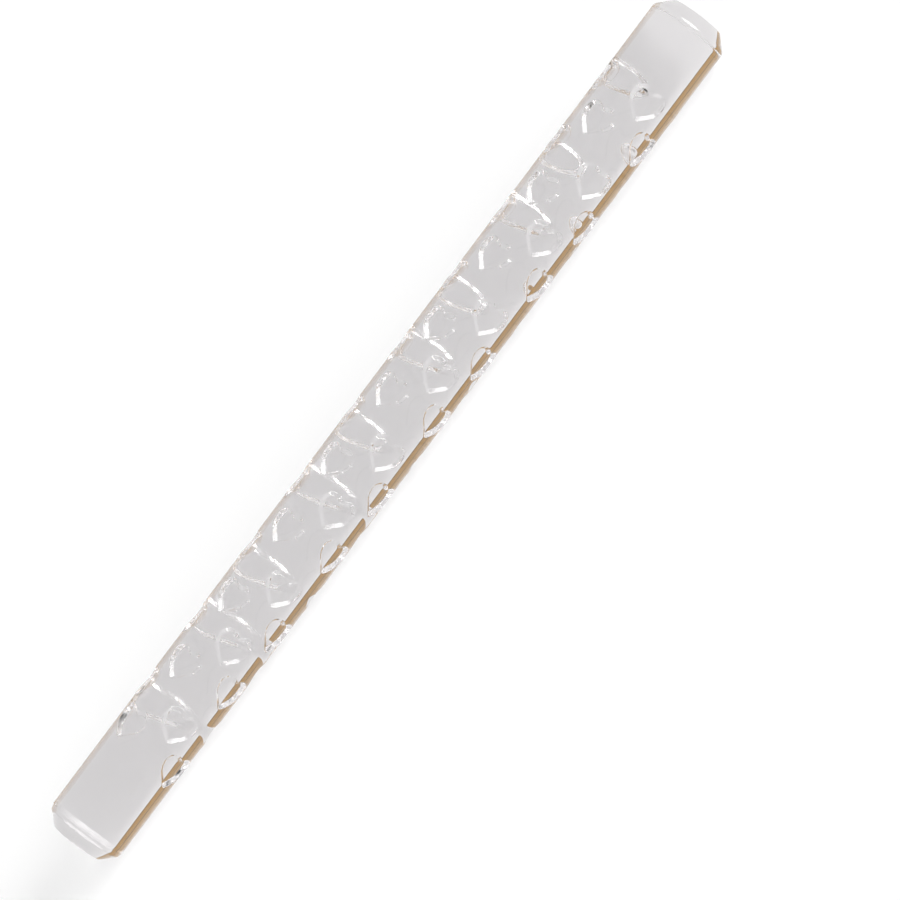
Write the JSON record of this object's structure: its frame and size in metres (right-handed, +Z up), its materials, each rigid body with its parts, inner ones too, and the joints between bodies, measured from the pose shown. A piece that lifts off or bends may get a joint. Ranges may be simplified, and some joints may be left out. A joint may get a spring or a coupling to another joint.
{
  "type": "embossing rolling pin",
  "caption": "Clear solid acrylic embossing rolling pin with columns of sunken hearts round it and chamfered ends; rolls raised hearts into dough or clay.",
  "frame": {"origin": "under the middle of the rod, on the surface that it lies on", "axes": "+X along the rod, towards the end that the hearts' lobes point to; +Z up, as the rod lies"},
  "size_m": [0.24, 0.02, 0.02],
  "materials": {
    "clear_acrylic": "polished"
  },
  "bodies": {
    "root": {"embossing_rod": "clear_acrylic"}
  },
  "joints": []
}
